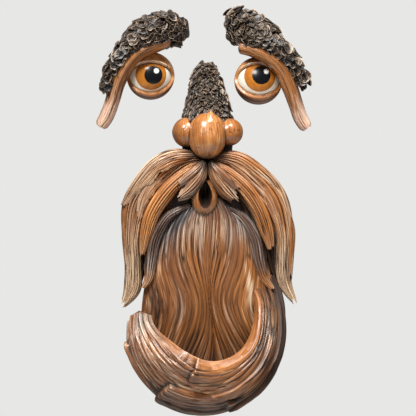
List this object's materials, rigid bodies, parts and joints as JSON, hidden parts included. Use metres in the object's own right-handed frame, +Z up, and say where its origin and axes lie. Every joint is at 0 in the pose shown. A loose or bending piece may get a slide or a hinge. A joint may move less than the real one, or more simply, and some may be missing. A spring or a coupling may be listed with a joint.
{
  "type": "tree face bird feeder",
  "caption": "Bearded wood-spirit face for a tree trunk, in three wall-hung castings; the curled end of the beard is a small tray for bird seed.",
  "frame": {"origin": "on the flat back of the bearded casting, which lies on the trunk, behind the underside of the nose", "axes": "+X to the viewer's right, +Y into the trunk, +Z up; the face looks towards -Y"},
  "size_m": [0.1895, 0.0794, 0.3559],
  "materials": {
    "painted_resin": "satin"
  },
  "bodies": {
    "root": {"bearded_feeder": "painted_resin", "left_eye_and_brow": "painted_resin", "right_eye_and_brow": "painted_resin"}
  },
  "joints": []
}
